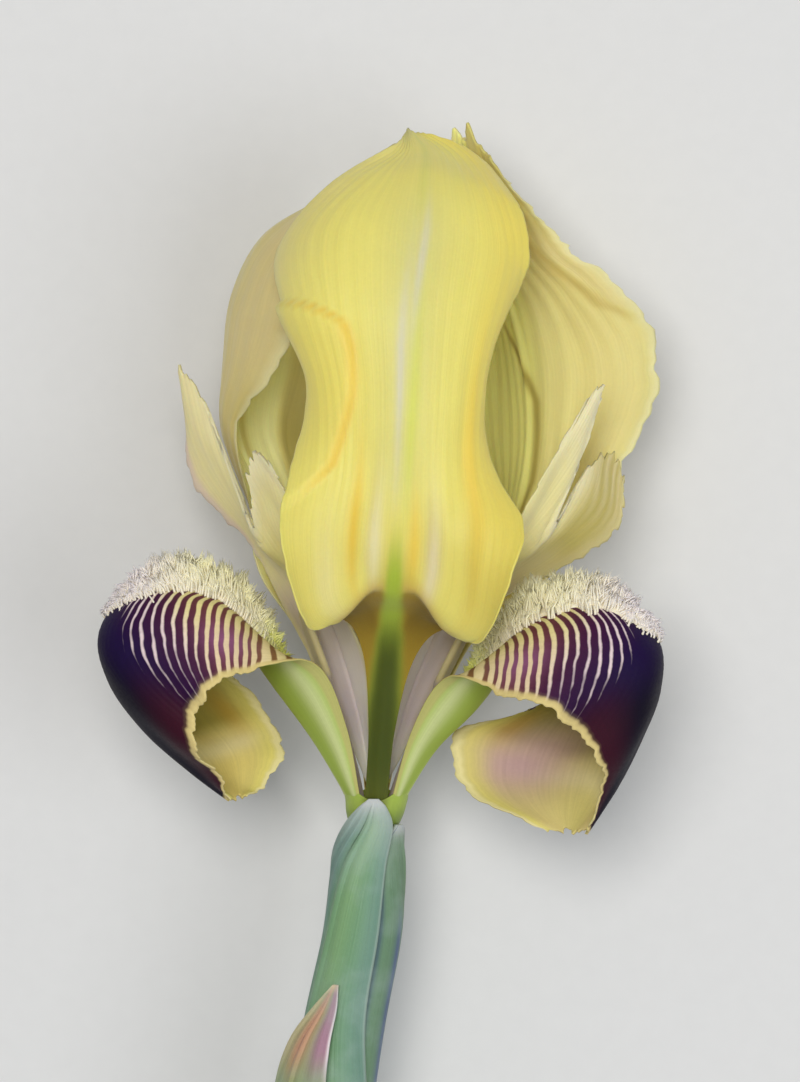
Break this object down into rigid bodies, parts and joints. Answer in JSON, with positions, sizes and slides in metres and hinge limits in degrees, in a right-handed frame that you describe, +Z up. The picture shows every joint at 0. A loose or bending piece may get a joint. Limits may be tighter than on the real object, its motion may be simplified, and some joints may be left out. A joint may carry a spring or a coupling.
{
  "type": "iris flower",
  "caption": "Bearded iris bloom with yellow standards, violet-veined falls, sheaths and a cut stem, lying on its back.",
  "frame": {"origin": "centre of the bounding box at the surface that the flower lies on", "axes": "+Z up from the surface, +Y along the flower's axis from the stem to the tips of the petals"},
  "size_m": [0.0678, 0.2298, 0.0485],
  "materials": {
    "standard": "soft satin petal, yellow with paler and greenish stripes",
    "fall": "velvety petal, cream at the haft with violet veins that merge to solid violet",
    "beard": "dense soft hairs, cream with yellow tips",
    "style": "satin, cream with a lilac-grey blush",
    "stamen": "matte, cream",
    "ovary": "smooth green",
    "spathe": "waxy grey-green with papery edges",
    "bract": "waxy, cream-green turning pink and purple",
    "stem": "waxy green"
  },
  "bodies": {
    "root": {"standard_front": "standard", "standard_left": "standard", "standard_right": "standard", "fall_left": "fall", "fall_right": "fall", "fall_back": "fall", "beard_left": "beard", "beard_right": "beard", "beard_back": "beard", "style": "style", "stamen_left": "stamen", "stamen_right": "stamen", "stamen_back": "stamen", "ovary": "ovary", "spathe_outer": "spathe", "spathe_inner": "spathe", "bract": "bract", "stem": "stem"}
  },
  "joints": []
}
